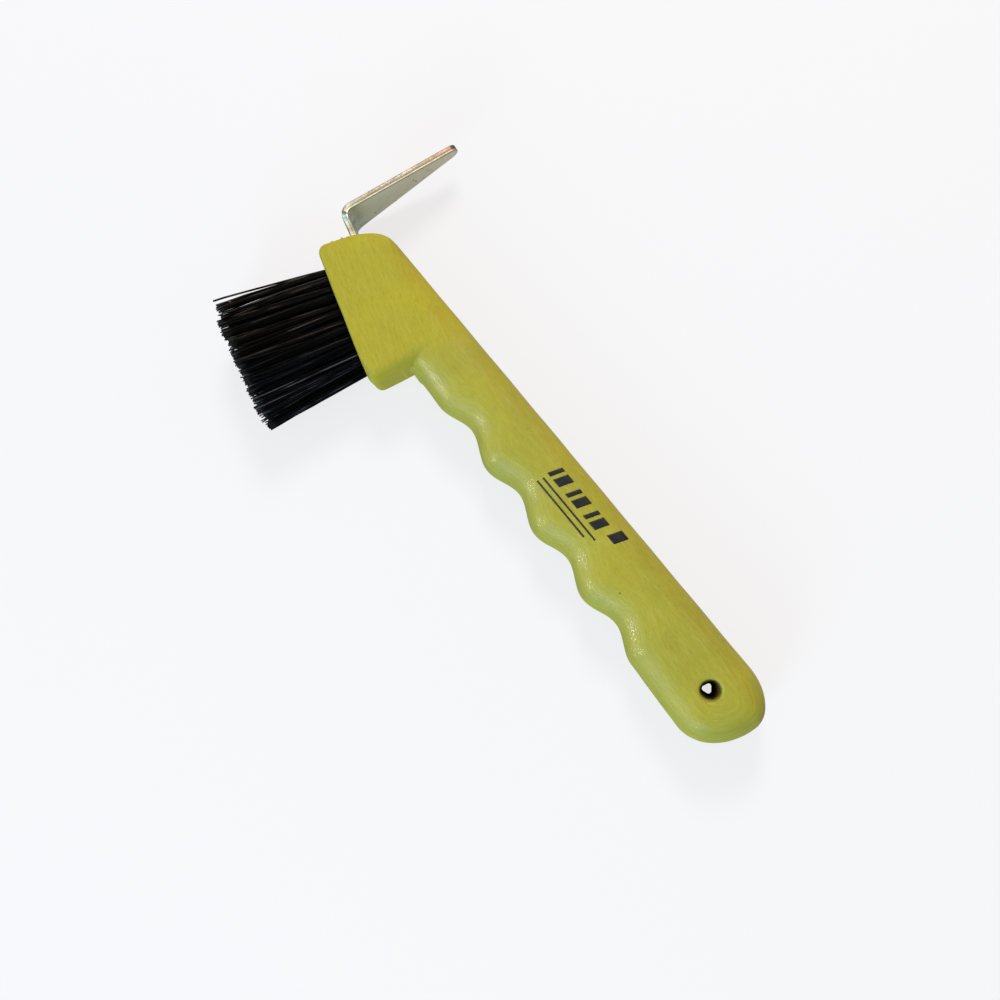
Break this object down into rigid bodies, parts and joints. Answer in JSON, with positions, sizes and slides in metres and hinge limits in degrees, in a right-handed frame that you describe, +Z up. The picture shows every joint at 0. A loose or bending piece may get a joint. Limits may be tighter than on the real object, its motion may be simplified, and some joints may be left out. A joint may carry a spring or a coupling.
{
  "type": "hoof pick",
  "caption": "Hoof pick with a finger-grooved plastic handle, a bent tapered steel pick and a stiff tufted brush in its slanted head.",
  "frame": {"origin": "on the lower broad side, half way along the handle, on the flat strip of the grip", "axes": "+X along the grip towards the head, +Y from the straight back edge towards the brush, +Z up out of the upper broad side"},
  "size_m": [0.1824, 0.0893, 0.018],
  "materials": {
    "plastic": "satin moulded",
    "steel": "zinc plated",
    "bristle": "satin nylon filament",
    "wire": "drawn flat wire"
  },
  "bodies": {
    "root": {"handle": "plastic", "pick": "steel", "tuft_lower_1": "bristle", "anchor_lower_1": "wire", "tuft_lower_2": "bristle", "anchor_lower_2": "wire", "tuft_lower_3": "bristle", "anchor_lower_3": "wire", "tuft_lower_4": "bristle", "anchor_lower_4": "wire", "tuft_lower_5": "bristle", "anchor_lower_5": "wire", "tuft_lower_6": "bristle", "anchor_lower_6": "wire", "tuft_middle_1": "bristle", "anchor_middle_1": "wire", "tuft_middle_2": "bristle", "anchor_middle_2": "wire", "tuft_middle_3": "bristle", "anchor_middle_3": "wire", "tuft_middle_4": "bristle", "anchor_middle_4": "wire", "tuft_middle_5": "bristle", "anchor_middle_5": "wire", "tuft_middle_6": "bristle", "anchor_middle_6": "wire", "tuft_upper_1": "bristle", "anchor_upper_1": "wire", "tuft_upper_2": "bristle", "anchor_upper_2": "wire", "tuft_upper_3": "bristle", "anchor_upper_3": "wire", "tuft_upper_4": "bristle", "anchor_upper_4": "wire", "tuft_upper_5": "bristle", "anchor_upper_5": "wire", "tuft_upper_6": "bristle", "anchor_upper_6": "wire"}
  },
  "joints": []
}
